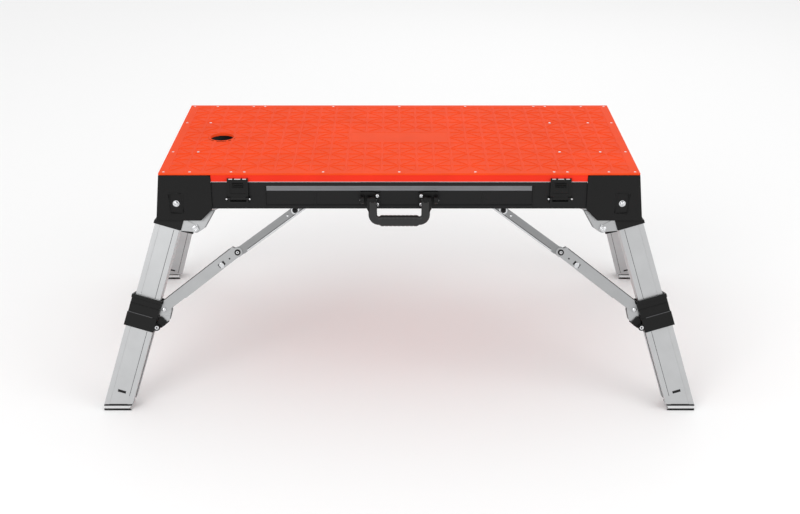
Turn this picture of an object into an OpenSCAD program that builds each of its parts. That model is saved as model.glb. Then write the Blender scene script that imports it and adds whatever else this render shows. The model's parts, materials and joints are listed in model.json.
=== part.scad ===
// Folding work platform bench: a lift-off deck on a black frame, four splayed legs
// that telescope and fold under the deck, each braced by a two-arm knee strut.
// Frame of the model: origin on the floor under the middle of the deck, +Z up,
// +X to the right and -Y to the front, where the carrying handle hangs.

/* [Deck] */
// Length of the deck along X
deck_length = 1200; // [1150:5:1250]
// Depth of the deck along Y
deck_depth = 575; // [565:1:585]
// Height of the deck's top above the floor
work_height = 595; // [590:1:600]
// Radius of the round hole near the left end of the deck
deck_hole_r = 31; // [20:1:36]

/* [Frame] */
// Height of the black side rails
rail_height = 69; // [60:1:69]
// How far the corner blocks reach below the deck's top
block_drop = 126; // [122:1:128]

/* [Legs] */
// Outward lean of the legs toward the front and back, in degrees
leg_tilt = 17.85; // [17:0.05:18]
// Outward lean of the legs toward the ends, in degrees
leg_splay = 16.2; // [16:0.1:16.5]
// Width of the upper leg, seen from the front
leg_width = 64; // [60:1:66]
// Thickness of the upper leg, front to back
leg_thick = 40; // [38:1:40]
// Travel of the telescoping lower leg
leg_travel = 182; // [150:1:182]

/* [Struts] */
// Length of the lower strut arm between its pivots
lower_arm = 239.6; // [239:0.1:240]
// Width of the lower strut arm
lower_arm_w = 31; // [28:1:31]
// Width of the upper strut arm
upper_arm_w = 23; // [20:1:23]

/* [Handle] */
// Width of the carrying handle over its posts
handle_width = 164; // [150:1:180]
// Drop of the handle's grip below its pivots
handle_drop = 72; // [66:1:76]

/* [Hidden] */

deck_orange = "#f4552c";
frame_black = "#1b1b1c";
bare_metal = "#c9cbcc";
steel = "#9b9ea1";
eps = 0.01;
far = 900; // longer than any piece, for cutting half spaces
$fn = 48;

// Deck
plate_t = 5;
skirt_t = 4;
skirt_drop = 22;
block_seam_x = 470; // where the corner blocks meet the side rails
hole_x = -deck_length / 2 + 124;
hole_rim_w = 5;
screw_r = 4.2;
screw_h = 1.6;
rib_drop = 14;
rib_y = 110;

// Side rails: a C section, open toward the inside
rail_y = deck_depth / 2 - 3; // outer face of the rails
rail_top = 26;               // depth of the rail's top edge below the deck's top
rail_bottom = rail_top + rail_height;
rail_t = 4;
rail_flange = 18;
panel_half = 336; // half length of the shallow recess in the rail's face
panel_depth = 2;

// Corner blocks
block_y = deck_depth / 2 + 2;
block_in_y = 190;            // the blocks reach this far in from the front and back
block_wall = 6;
block_flare = 13; // the outer end leans out by this much at its foot
block_bolt_x = 560;
block_bolt_drop = 80;

// Sub-frame under the deck: channels, open toward the middle
stringer_h = 50;
channel_w = 25;
channel_t = 3;
end_rail_x = deck_length / 2 - 3; // outer face of the end rails

// Leg plane: a tilted plane, x outward and -z down the plane; y = 0 is the leg's outer face
plane_y = 237; // where the outer face of the front legs would meet the deck's top
pivot_x = 516; // leg hinge
pivot_v = 157;
leg_inset = 38.4; // the leg's inner edge stands this far outboard of its hinge
leg_floor = 466;  // the upper leg meets the foot this far down the leg from its hinge
leg_end = leg_floor - leg_travel;
groove_w = 13;    // width of the raised strips along the legs' faces
strip_h = 1;
tube_t = 2.4;

// Lower leg: a channel that rides round the upper leg, open on its inner side
slip = 0.6;
sleeve_t = 2.4;
sleeve_top = 214;
sleeve_gap = 18;
slot_at = 456; // lock slot near the foot
slot_w = 21;
slot_h = 6.5;
foot_h = 17;

// Collar and lock lever
collar_top = 203;
collar_bottom = 286; // just past the end of the upper leg
collar_wall = 4.4;
lever_n = 27; // lever pin, outboard of the leg hinge
lever_d = 271;
lever_pin_r = 3;

// Strut pivots in the leg plane: x from the middle, v below the deck's top
strut_foot = [600.5, 364.5];
strut_head = [264, 111];
knee_rise = 3;
strut_pin_r = 4;
sheet = 2.5;
run_gap = 0.05; // radial running clearance of a pin in its bore
// layers across the leg's thickness, measured inward from its outer face
outer_layer = 5;
clevis_layer = 8;
inner_layer = 8.5;
strut_tail = 27;

strut_line = strut_head - strut_foot;
strut_dir = strut_line / norm(strut_line);
knee = strut_foot + strut_dir * sqrt(lower_arm * lower_arm - knee_rise * knee_rise)
    + knee_rise * [-strut_dir[1], strut_dir[0]];
upper_arm = norm(strut_head - knee);

// Latches and handle
latch_x = 403;
latch_w = 52;
latch_pin_drop = 66;
latch_y = rail_y + 5.5;
latch_pin_r = 2.5;
latch_knuckle_r = 4.6;
handle_pivot_drop = 67;
handle_y = rail_y + 12.5;
handle_post_x = 79; // middle of each post's lugs
handle_post_w = 23;
grip_r = 12.5;
handle_pin_r = 4;

// ---- Places ----

// Puts a piece drawn for the right-hand back corner at any corner
module at_corner(side_x, side_y) {
    mirror([side_x < 0 ? 1 : 0, 0, 0]) mirror([0, side_y < 0 ? 1 : 0, 0]) children();
}

module at_all_corners() {
    for (side_x = [-1, 1]) for (side_y = [-1, 1]) at_corner(side_x, side_y) children();
}

// The tilted plane of one leg and its strut
module leg_plane() {
    translate([0, plane_y, work_height]) rotate([leg_tilt, 0, 0]) children();
}

// Along a leg: z = 0 at the hinge, -z down the leg, x outboard of the hinge
module leg_axis() {
    leg_plane() translate([pivot_x, 0, -pivot_v]) rotate([0, -leg_splay, 0]) children();
}

// An outline in the (x, z) plane given a thickness inward from a layer
module layer_plate(layer, thickness) {
    translate([0, -layer, 0]) rotate([90, 0, 0]) linear_extrude(thickness) children();
}

// The same plate on both sides of the leg's middle plane
module twin_plates(layer, thickness) {
    layer_plate(layer, thickness) children();
    layer_plate(leg_thick - layer - thickness, thickness) children();
}

// A round bar across the leg plane between two layers
module cross_pin(r, from, to) {
    translate([0, -from, 0]) rotate([90, 0, 0]) cylinder(r = r, h = to - from);
}

// Everything below a given height
module below(height) {
    translate([-far, -far, height - far]) cube([2 * far, 2 * far, far]);
}

module box_from(low, high) {
    translate(low) cube(high - low);
}

// ---- Deck and frame ----

module deck_panel() {
    half = [deck_length / 2, deck_depth / 2];
    color(deck_orange) difference() {
        box_from([-half[0], -half[1], work_height - plate_t], [half[0], half[1], work_height]);
        translate([hole_x, 0, work_height - plate_t - 1])
            cylinder(r = deck_hole_r + hole_rim_w + run_gap, h = plate_t + 2);
        // pockets that keep the screw heads level with the top
        at_deck_screws() translate([0, 0, -screw_h]) cylinder(r = screw_r + run_gap, h = screw_h + 1);
    }
}

// Skirts round the deck's edge between the corner blocks, and ribs under it
module deck_skirts() {
    half = [deck_length / 2, deck_depth / 2];
    rib_t = 4;
    top = work_height - plate_t;
    bottom = work_height - skirt_drop;
    color(deck_orange) {
        for (side = [-1, 1]) {
            translate([-block_seam_x, side > 0 ? half[1] - skirt_t : -half[1], bottom])
                cube([2 * block_seam_x, skirt_t, top - bottom]);
            translate([side > 0 ? half[0] - skirt_t : -half[0], -block_in_y, bottom])
                cube([skirt_t, 2 * block_in_y, top - bottom]);
        }
        for (y = [-rib_y, 0, rib_y])
            translate([-half[0] + 170, y - rib_t / 2, work_height - rib_drop])
                cube([deck_length - 230, rib_t, rib_drop - plate_t]);
    }
}

// Bush through the deck round its hole
module hole_ring() {
    color(deck_orange) translate([hole_x, 0, work_height - skirt_drop]) difference() {
        cylinder(r = deck_hole_r + hole_rim_w, h = skirt_drop);
        translate([0, 0, -1]) cylinder(r = deck_hole_r, h = skirt_drop + 2);
    }
}

// C section with its outer face at rail_y, drawn for the back
module rail_bar() {
    difference() {
        box_from([-block_seam_x, rail_y - rail_flange, work_height - rail_bottom],
            [block_seam_x, rail_y, work_height - rail_top]);
        box_from([-block_seam_x - 1, rail_y - rail_flange - 1, work_height - rail_bottom + rail_t],
            [block_seam_x + 1, rail_y - rail_t, work_height - rail_top - rail_t]);
        box_from([-panel_half, rail_y - panel_depth, work_height - rail_bottom + 9],
            [panel_half, rail_y + 1, work_height - rail_top - 10]);
    }
}

// Two rounded ears and a sill that hold a latch's pin
module latch_base() {
    ear_w = 6;
    ear_r = 5;
    sill = 7;
    reach = 3.5; // how far the sill stands in front of the pin
    translate([0, latch_y, work_height - latch_pin_drop]) difference() {
        union() {
            box_from([-latch_w / 2, rail_y - latch_y - eps, -2 * sill], [latch_w / 2, reach, 0]);
            rotate([0, 90, 0]) cylinder(r = ear_r, h = latch_w, center = true);
            box_from([-latch_w / 2, rail_y - latch_y - eps, -eps], [latch_w / 2, 0, ear_r]);
        }
        box_from([-latch_w / 2 + ear_w, rail_y - latch_y - 1, -sill],
            [latch_w / 2 - ear_w, reach + ear_r, ear_r + 1]);
        rotate([0, 90, 0]) cylinder(r = latch_pin_r + run_gap, h = 2 * latch_w, center = true);
    }
}

module side_rail() {
    rail_bar();
    for (side = [-1, 1]) translate([side * latch_x, 0, 0]) latch_base();
}

module side_rails() {
    color(frame_black) for (side = [0, 1]) mirror([0, side, 0]) side_rail();
}

// A channel along x, its back at y = 0 and its flanges toward -y, its top at z = 0
module channel(length, height) {
    translate([-length / 2, -channel_w, -height]) difference() {
        cube([length, channel_w, height]);
        translate([-1, -channel_t, channel_t])
            cube([length + 2, channel_w, height - 2 * channel_t]);
    }
}

// Two stringers under the deck and two end rails between the corner blocks
module sub_frame() {
    color(frame_black) for (side = [0, 1]) {
        mirror([0, side, 0]) translate([0, block_in_y, work_height - plate_t])
            channel(2 * (end_rail_x - channel_w), stringer_h);
        mirror([side, 0, 0]) translate([end_rail_x, 0, work_height - rail_top])
            rotate([0, 0, -90]) channel(2 * block_in_y, rail_height);
    }
}

// Outline of a corner block seen from the front: x outward, y up from the deck's top
module block_outline() {
    step_r = 8;
    end_x = deck_length / 2;
    polygon([
        [block_seam_x, -rail_bottom], [block_seam_x + 30, -block_drop],
        [end_x + block_flare, -block_drop], [end_x, -plate_t],
        [block_seam_x + step_r, -plate_t], [block_seam_x, -plate_t - step_r],
    ]);
    translate([block_seam_x + step_r, -plate_t - step_r]) circle(step_r);
}

module corner_block() {
    lean = atan(block_flare / block_drop);
    difference() {
        translate([0, block_y, work_height]) rotate([90, 0, 0])
            linear_extrude(block_y - block_in_y) block_outline();
        // hollow, open toward the middle of the frame
        box_from([block_seam_x - 1, block_in_y - 1, work_height - block_drop + block_wall],
            [deck_length / 2 - block_wall, block_y - block_wall, work_height - plate_t - block_wall]);
        // shallow leaning recess round the block's bolt
        translate([block_bolt_x, block_y - 2, work_height - block_bolt_drop])
            rotate([0, lean, 0]) box_from([-16, 0, -27], [16, 5, 27]);
    }
}

module corner_blocks() {
    color(frame_black) at_all_corners() corner_block();
}

// Bolt in the middle of each block's recess
module block_bolts() {
    bolt_r = 7.5;
    bolt_h = 5;
    at_all_corners() translate([block_bolt_x, block_y - 2, work_height - block_bolt_drop])
        rotate([-90, 0, 0]) cylinder(r = bolt_r, h = bolt_h);
}

// Fixed cheeks under each corner block that carry a leg's hinge bolt
module hinge_brackets() {
    cheek_layer = 4.3;
    cheek_t = 3;
    top_v = block_drop / cos(leg_tilt);
    color(bare_metal) at_all_corners() intersection() {
        leg_plane() {
            twin_plates(cheek_layer, cheek_t) difference() {
                union() {
                    translate([pivot_x, -pivot_v]) circle(11);
                    polygon([
                        [pivot_x + 11, -pivot_v], [pivot_x + 22, -top_v - 8], [pivot_x + 22, -top_v + 20],
                        [pivot_x - 46, -top_v + 20], [pivot_x - 22, -pivot_v + 2], [pivot_x - 8, -pivot_v - 8],
                    ]);
                }
                translate([pivot_x, -pivot_v]) circle(strut_pin_r + 1 + run_gap);
            }
            // web that joins the cheeks under the block
            translate([pivot_x - 22, -leg_thick + cheek_layer + eps, -top_v - 11])
                cube([40, leg_thick - 2 * cheek_layer - 2 * eps, 8]);
        }
        // the blocks' flat undersides and slanting inner ends bound the plates
        translate([0, far / 2, work_height - block_drop]) rotate([90, 0, 0])
            linear_extrude(far) polygon([
                [0, -100], [700, -100], [700, 0], [block_seam_x + 30, 0],
                [block_seam_x, block_drop - rail_bottom], [block_seam_x - 3, block_drop - rail_bottom], [0, 0],
            ]);
    }
}

module pivot_bolts() {
    bolt_r = strut_pin_r + 1;
    color(steel) at_all_corners() leg_plane() translate([pivot_x, 0, -pivot_v]) {
        cross_pin(bolt_r, -1, leg_thick + 1);
        cross_pin(8, -4, 0.5);
        cross_pin(8, leg_thick - 0.5, leg_thick + 4);
    }
}

// Plates behind the strut heads, carried by the stringers
module strut_brackets() {
    plate_layer = leg_thick - inner_layer + 0.7;
    plate = 4;
    half_w = 20;
    color(bare_metal) at_all_corners() {
        leg_plane() layer_plate(plate_layer, plate) {
            translate([strut_head[0], -strut_head[1]]) circle(12);
            translate([strut_head[0] - half_w, -strut_head[1] + 6])
                square([2 * half_w, strut_head[1] - 46]);
            translate([strut_head[0] - 12, -strut_head[1]]) square([24, 10]);
        }
        // arm out from the stringer's back
        box_from([strut_head[0] - half_w, block_in_y, work_height - stringer_h - 1],
            [strut_head[0] + half_w, block_in_y + 28, work_height - stringer_h + 5]);
    }
}

// Places of the screws along the deck's edges and round its hole
module at_deck_screws() {
    half = [deck_length / 2, deck_depth / 2];
    edge = 11.5;
    second = 77;
    inner_y = 0.214 * deck_depth;
    for (side = [-1, 1]) {
        for (column = [edge, second], y = [-half[1] + edge, -inner_y, inner_y, half[1] - edge])
            translate([side * (half[0] - column), y, work_height]) children();
        for (x = [-190, 0, 190]) translate([x, side * (half[1] - edge), work_height]) children();
        for (place = [-16.5, 16.5], end = [-1, 1])
            translate([end * latch_x + place, side * (half[1] - edge), work_height]) children();
        translate([half[0] - 183, side * inner_y, work_height]) children();
    }
}

// Screw heads sunk level with the deck, and the corner blocks' bolts
module fasteners() {
    color(steel) {
        block_bolts();
        at_deck_screws() translate([0, 0, -screw_h]) cylinder(r = screw_r, h = screw_h);
    }
}

// ---- Latches and handle, drawn for the back and the front ----

module latch_plate() {
    top_drop = 15;
    back_y = deck_depth / 2 + 0.7;
    t = 5;
    inside = latch_w - 12 - 1;
    at = [0, latch_y, work_height - latch_pin_drop];
    color(frame_black) {
        difference() {
            box_from([-latch_w / 2, back_y, work_height - latch_pin_drop + 6],
                [latch_w / 2, back_y + t, work_height - top_drop]);
            box_from([-latch_w / 2 + 6, back_y + t - 1, work_height - latch_pin_drop + 14],
                [latch_w / 2 - 6, back_y + t + 1, work_height - top_drop - 8]);
        }
        // link and knuckle between the ears, with the latch's own pin
        box_from([-inside / 2, back_y + 0.3, at[2]], [inside / 2, back_y + t - 0.5, at[2] + 7]);
        translate(at) rotate([0, 90, 0]) cylinder(r = latch_knuckle_r, h = inside, center = true);
        translate(at) rotate([0, 90, 0]) cylinder(r = latch_pin_r, h = latch_w + 4, center = true);
    }
}

module latch(side_x, side_y) {
    mirror([0, side_y < 0 ? 1 : 0, 0]) translate([side_x * latch_x, 0, 0]) latch_plate();
}

// Bearing lugs on the front rail for the carrying handle
module handle_mount() {
    lug_w = 10;
    color(frame_black) for (side = [-1, 1]) {
        difference() {
            union() {
                box_from([side * handle_post_x - 18, -rail_y - 3.5, work_height - handle_pivot_drop - 17],
                    [side * handle_post_x + 18, -rail_y + panel_depth - eps, work_height - handle_pivot_drop + 18]);
                for (place = [-13, 13])
                    translate([side * handle_post_x + place, -handle_y, work_height - handle_pivot_drop])
                        rotate([0, 90, 0]) cylinder(r = 9, h = lug_w, center = true);
                for (place = [-13, 13])
                    box_from([side * handle_post_x + place - lug_w / 2, -handle_y, work_height - handle_pivot_drop - 9],
                        [side * handle_post_x + place + lug_w / 2, -rail_y - 3, work_height - handle_pivot_drop + 9]);
            }
            translate([side * handle_post_x - 40, -handle_y, work_height - handle_pivot_drop])
                rotate([0, 90, 0]) cylinder(r = handle_pin_r + run_gap, h = 80);
        }
    }
}

// Outline of the handle seen from the front, y down from its pivots
module handle_outline() {
    half = handle_width / 2;
    grip_top = handle_drop - grip_r * 2;
    corner_r = 14;
    difference() {
        union() {
            translate([-half, -handle_drop + corner_r])
                square([handle_width, handle_drop - corner_r - 12]);
            translate([-half + corner_r, -handle_drop]) square([handle_width - 2 * corner_r, corner_r * 2]);
            for (side = [-1, 1]) translate([side * (half - corner_r), -handle_drop + corner_r])
                circle(corner_r);
        }
        translate([-half + handle_post_w, -grip_top])
            square([handle_width - 2 * handle_post_w, grip_top]);
    }
}

module handle() {
    thick = 15;
    inner_w = 15;
    color(frame_black) translate([0, -handle_y, work_height - handle_pivot_drop]) {
        translate([0, thick / 2, 0]) rotate([90, 0, 0]) linear_extrude(thick) handle_outline();
        for (side = [-1, 1]) {
            // knuckle between the lugs, and the pin through them
            translate([side * handle_post_x, 0, 0]) rotate([0, 90, 0]) {
                cylinder(r = 7.4, h = inner_w, center = true);
                cylinder(r = handle_pin_r, h = 40, center = true);
            }
            box_from([side * handle_post_x - inner_w / 2, -5, -14], [side * handle_post_x + inner_w / 2, 5, 0]);
        }
        // finger ridges under the grip
        for (x = [-44, -22, 0, 22, 44])
            translate([x, 0, -handle_drop]) rotate([90, 0, 0])
                cylinder(r = 4, h = thick - 3, center = true);
    }
}

// ---- Legs, drawn for the right-hand back corner ----

// Cross section of a leg, x outboard and y inward from the outer face, with raised edge strips
module leg_section(low_x, high_x, low_y, high_y) {
    translate([low_x, low_y + strip_h]) square([high_x - low_x, high_y - low_y - 2 * strip_h]);
    for (x = [low_x, high_x - groove_w]) translate([x, low_y]) square([groove_w, high_y - low_y]);
}

// Sweeps a section down the leg between two distances from the hinge
module along_leg(from, to) {
    translate([0, 0, -to]) linear_extrude(to - from) mirror([0, 1]) children();
}

module upper_leg() {
    low = leg_inset;
    high = leg_inset + leg_width;
    color(bare_metal) intersection() {
        leg_axis() along_leg(-60, leg_end) difference() {
            leg_section(low, high, 0, leg_thick);
            translate([low + tube_t, tube_t + strip_h])
                square([leg_width - 2 * tube_t, leg_thick - 2 * tube_t - 2 * strip_h]);
        }
        below(work_height - block_drop - 5);
    }
}

// Plastic boot round the top of the leg; its flat top seats against the corner block
module leg_boot() {
    wall = 3.4;
    boot_end = 15.3;
    fit = 0.1;
    high = leg_inset + leg_width;
    color(frame_black) intersection() {
        leg_axis() difference() {
            along_leg(-60, boot_end)
                translate([leg_inset - wall, -5]) square([leg_width + 2 * wall, leg_thick + 10]);
            intersection() {
                along_leg(-60, boot_end + 1)
                    translate([leg_inset - fit, -fit]) square([high - leg_inset + 2 * fit, leg_thick + 2 * fit]);
                // the socket stops short of the flat top
                rotate([0, leg_splay, 0]) translate([-pivot_x, 0, pivot_v]) rotate([-leg_tilt, 0, 0])
                    translate([0, -plane_y, -work_height]) below(work_height - block_drop - 4.9);
            }
        }
        below(work_height - block_drop - 0.5);
    }
}

// Leg-side hinge: a web against the boot and two ears that take the hinge bolt
module hinge_ear() {
    web_n = 31.6;
    ear_r = 9;
    web_up = 15;
    web_down = 15;
    color(bare_metal) leg_axis() difference() {
        union() {
            twin_plates(1, 3) union() {
                circle(ear_r);
                polygon([[0, ear_r], [web_n, web_up], [web_n + 3, web_up], [web_n + 3, -web_down],
                    [web_n, -web_down], [0, -ear_r]]);
            }
            translate([web_n, -leg_thick + 1, -web_down]) cube([3, leg_thick - 2, web_up + web_down]);
        }
        cross_pin(strut_pin_r + 1 + run_gap, -10, leg_thick + 10);
    }
}

// Collar clamped on the foot of the upper leg; the lower leg slides up inside it
module collar() {
    air = 0.5;
    low_n = leg_inset - slip - sleeve_t - air;
    high_n = leg_inset + leg_width + slip + sleeve_t + air;
    low_s = -slip - sleeve_t - strip_h - air;
    high_s = leg_thick - low_s;
    inner_wall = 2.6;
    lip = 9;
    waist = 47;
    color(frame_black) leg_axis() difference() {
        union() {
            // top lip, waist and wide foot of the collar
            for (band = [[0, lip, 0], [lip, waist, 1.6], [waist, collar_bottom - collar_top, 0]])
                along_leg(collar_top + band[0] - (band[0] > 0 ? eps : 0), collar_top + band[1])
                    translate([low_n - inner_wall, low_s - collar_wall + band[2]])
                        square([high_n - low_n + inner_wall + collar_wall - band[2],
                            high_s - low_s + 2 * (collar_wall - band[2])]);
            // wedge above the strut's pivot
            layer_plate(12, 16) polygon([[low_n - inner_wall + eps, -collar_top - 2],
                [low_n - inner_wall + eps, -collar_top - 13], [low_n - 16, -collar_top - 9],
                [low_n - 16, -collar_top - 4]]);
            // bosses that hold the lever's pin
            twin_plates(-6, 6) union() {
                translate([lever_n, -lever_d]) circle(8);
                translate([lever_n, -lever_d - 8]) square([low_n - lever_n, 16]);
            }
        }
        difference() {
            along_leg(collar_top - 1, collar_bottom + 1)
                translate([low_n, low_s]) square([high_n - low_n, high_s - low_s]);
            // tongue that reaches the upper leg through the lower leg's open side
            along_leg(collar_top + 3, collar_bottom - 3)
                translate([low_n - 1, leg_thick / 2 - sleeve_gap / 2 + 1])
                    square([leg_inset - low_n + 1 - 0.2, sleeve_gap - 2]);
        }
        translate([lever_n, 0, -lever_d]) cross_pin(lever_pin_r + run_gap, -10, leg_thick + 10);
    }
}

// Fixed clevis on the collar that carries the strut's lower pivot
module strut_clevis() {
    base_n = leg_inset - slip - sleeve_t - 0.5 - 2.6 - 0.1;
    foot_n = strut_foot_leg()[0];
    foot_d = strut_foot_leg()[1];
    tail = 15;
    color(bare_metal) leg_axis() {
        // cheeks with a long rounded lobe below the pivot
        twin_plates(clevis_layer, sheet) polygon(concat(
            [[base_n, -foot_d + 12], [base_n, -foot_d - tail], [foot_n - 3, -foot_d - 30]],
            arc_points([foot_n - 8, -foot_d - 19], 12, 270, 180),
            arc_points([foot_n - 7, -foot_d], 12, 170, 100)));
        translate([base_n - sheet, -leg_thick + clevis_layer, -foot_d - tail])
            cube([sheet, leg_thick - 2 * clevis_layer, tail + 5]);
        translate([foot_n, 0, -foot_d]) {
            cross_pin(strut_pin_r, outer_layer - 1, leg_thick - outer_layer + 1);
            cross_pin(6, outer_layer - 3, outer_layer - 0.3);
            cross_pin(6, leg_thick - outer_layer + 0.3, leg_thick - outer_layer + 3);
        }
    }
}

// Points along an arc, in degrees
function arc_points(centre, r, from, to, steps = 8) =
    [for (i = [0 : steps]) let (a = from + (to - from) * i / steps) centre + r * [cos(a), sin(a)]];

// The strut's lower pivot in the leg's own axes: outboard of the hinge, and down the leg
function strut_foot_leg() = let (dx = strut_foot[0] - pivot_x, dv = strut_foot[1] - pivot_v)
    [dx * cos(leg_splay) - dv * sin(leg_splay), dv * cos(leg_splay) + dx * sin(leg_splay)];

module lower_leg() {
    low_n = leg_inset - slip - sleeve_t;
    high_n = leg_inset + leg_width + slip + sleeve_t;
    low_s = -slip - sleeve_t - strip_h;
    color(bare_metal) difference() {
        leg_axis() difference() {
            along_leg(sleeve_top, 560) difference() {
                leg_section(low_n, high_n, low_s, leg_thick - low_s);
                translate([low_n + sleeve_t, -slip])
                    square([high_n - low_n - 2 * sleeve_t, leg_thick + 2 * slip]);
                // open inner side
                translate([low_n - 1, leg_thick / 2 - sleeve_gap / 2]) square([sleeve_t + 2, sleeve_gap]);
            }
            // lock slot across the leg
            translate([(low_n + high_n) / 2 - slot_w / 2, -leg_thick - 10, -slot_at - slot_h / 2])
                cube([slot_w, leg_thick + 20, slot_h]);
        }
        below(foot_h);
    }
}

// Foot outline seen from the front: upright outer side, slanting inner side
module foot() {
    top_v = (work_height - foot_h) / cos(leg_tilt);
    edge_x = pivot_x + (top_v - pivot_v) * tan(leg_splay);
    inner = edge_x + (leg_inset - 2) / cos(leg_splay);
    outer = edge_x + (leg_inset + leg_width + 3) / cos(leg_splay);
    back = plane_y + top_v * sin(leg_tilt) + 6;
    color(frame_black) translate([0, back, 0]) rotate([90, 0, 0])
        linear_extrude(49)
            polygon([[inner + 9, 0], [outer + 1, 0], [outer + 1, foot_h - 4], [outer, foot_h], [inner, foot_h]]);
}

// Lever whose cheeks pass outside the strut, sprung shut against the lower leg
module lock_lever() {
    cheek = 4;
    layer = 0.4;
    color(frame_black) leg_axis() translate([lever_n, 0, -lever_d]) {
        twin_plates(layer, cheek) union() {
            circle(5);
            polygon([[-4, -3], [-15.5, 8], [-20.5, 15.5], [-19.5, 19.5], [-2, 29], [2, 27], [3.5, 3.5]]);
        }
        // cross bar between the cheeks
        translate([-4, -leg_thick + layer + eps, 1]) cube([6, leg_thick - 2 * layer - 2 * eps, 8]);
        cross_pin(lever_pin_r, -7.5, leg_thick + 7.5);
    }
}

// ---- Struts, drawn in the leg plane ----

// Origin at a pivot, +x toward the next one, +y on the upper side
module strut_axis(from, to) {
    d = to - from;
    leg_plane() translate([from[0], 0, -from[1]]) rotate([0, atan2(d[1], d[0]), 0])
        mirror([0, 0, d[0] < 0 ? 1 : 0]) children();
}

// Lower arm: two side sheets joined by a web along the underside
module lower_strut() {
    top = 20;
    bottom = lower_arm_w - top;
    end_r = 12.5;
    foot_r = 7.6;
    color(bare_metal) strut_axis(strut_foot, knee) difference() {
        union() {
            twin_plates(outer_layer, sheet) union() {
                circle(foot_r);
                polygon([[0, foot_r], [17, top], [lower_arm - 4, top], [lower_arm, end_r],
                    [lower_arm, -end_r + 1.5], [lower_arm - 8, -bottom], [10, -bottom + 2], [0, -foot_r]]);
                translate([lower_arm, 0]) circle(end_r);
            }
            translate([62, -leg_thick + outer_layer, -bottom]) cube([118, leg_thick - 2 * outer_layer, sheet]);
        }
        for (at = [0, lower_arm])
            translate([at, 0, 0]) cross_pin(strut_pin_r + run_gap, 0, leg_thick);
        translate([lower_arm - 26, 0, 0]) cross_pin(2, 0, leg_thick);
    }
}

// Upper arm: a narrower channel that nests between the lower arm's sheets
module upper_strut() {
    top = 10;
    bottom = upper_arm_w - top;
    color(bare_metal) strut_axis(strut_head, knee) difference() {
        union() {
            twin_plates(inner_layer, sheet) union() {
                translate([upper_arm, 0]) circle(top);
                polygon([[-strut_tail, -bottom], [upper_arm - 14, -bottom], [upper_arm, -top],
                    [upper_arm, top], [-strut_tail + 8, top], [-strut_tail, top - 8]]);
            }
            translate([-strut_tail, -leg_thick + inner_layer, -bottom])
                cube([upper_arm + strut_tail - 30, leg_thick - 2 * inner_layer, sheet]);
            // bolt head at the strut's upper end
            cross_pin(7, inner_layer - 4, inner_layer + eps);
        }
        translate([upper_arm, 0, 0]) cross_pin(strut_pin_r + run_gap, 0, leg_thick);
    }
}

module knee_pin() {
    color(frame_black) strut_axis(strut_foot, knee) translate([lower_arm, 0, 0]) {
        cross_pin(strut_pin_r, outer_layer - 1, leg_thick - outer_layer + 1);
        for (side = [[outer_layer - 3, outer_layer], [leg_thick - outer_layer, leg_thick - outer_layer + 3]])
            cross_pin(7, side[0], side[1]);
    }
}

deck_panel();
deck_skirts();
hole_ring();
side_rails();
sub_frame();
corner_blocks();
fasteners();
hinge_brackets();
pivot_bolts();
strut_brackets();
handle_mount();
handle();
latch(-1, -1);  // latch_front_left
latch(1, -1);  // latch_front_right
latch(-1, 1);  // latch_back_left
latch(1, 1);  // latch_back_right
at_corner(-1, -1) upper_leg();  // upper_leg_front_left
at_corner(1, -1) upper_leg();  // upper_leg_front_right
at_corner(-1, 1) upper_leg();  // upper_leg_back_left
at_corner(1, 1) upper_leg();  // upper_leg_back_right
at_corner(-1, -1) leg_boot();  // leg_boot_front_left
at_corner(1, -1) leg_boot();  // leg_boot_front_right
at_corner(-1, 1) leg_boot();  // leg_boot_back_left
at_corner(1, 1) leg_boot();  // leg_boot_back_right
at_corner(-1, -1) hinge_ear();  // hinge_ear_front_left
at_corner(1, -1) hinge_ear();  // hinge_ear_front_right
at_corner(-1, 1) hinge_ear();  // hinge_ear_back_left
at_corner(1, 1) hinge_ear();  // hinge_ear_back_right
at_corner(-1, -1) collar();  // collar_front_left
at_corner(1, -1) collar();  // collar_front_right
at_corner(-1, 1) collar();  // collar_back_left
at_corner(1, 1) collar();  // collar_back_right
at_corner(-1, -1) strut_clevis();  // strut_clevis_front_left
at_corner(1, -1) strut_clevis();  // strut_clevis_front_right
at_corner(-1, 1) strut_clevis();  // strut_clevis_back_left
at_corner(1, 1) strut_clevis();  // strut_clevis_back_right
at_corner(-1, -1) lower_leg();  // lower_leg_front_left
at_corner(1, -1) lower_leg();  // lower_leg_front_right
at_corner(-1, 1) lower_leg();  // lower_leg_back_left
at_corner(1, 1) lower_leg();  // lower_leg_back_right
at_corner(-1, -1) foot();  // foot_front_left
at_corner(1, -1) foot();  // foot_front_right
at_corner(-1, 1) foot();  // foot_back_left
at_corner(1, 1) foot();  // foot_back_right
at_corner(-1, -1) lock_lever();  // lock_lever_front_left
at_corner(1, -1) lock_lever();  // lock_lever_front_right
at_corner(-1, 1) lock_lever();  // lock_lever_back_left
at_corner(1, 1) lock_lever();  // lock_lever_back_right
at_corner(-1, -1) lower_strut();  // lower_strut_front_left
at_corner(1, -1) lower_strut();  // lower_strut_front_right
at_corner(-1, 1) lower_strut();  // lower_strut_back_left
at_corner(1, 1) lower_strut();  // lower_strut_back_right
at_corner(-1, -1) upper_strut();  // upper_strut_front_left
at_corner(1, -1) upper_strut();  // upper_strut_front_right
at_corner(-1, 1) upper_strut();  // upper_strut_back_left
at_corner(1, 1) upper_strut();  // upper_strut_back_right
at_corner(-1, -1) knee_pin();  // knee_pin_front_left
at_corner(1, -1) knee_pin();  // knee_pin_front_right
at_corner(-1, 1) knee_pin();  // knee_pin_back_left
at_corner(1, 1) knee_pin();  // knee_pin_back_right
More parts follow.
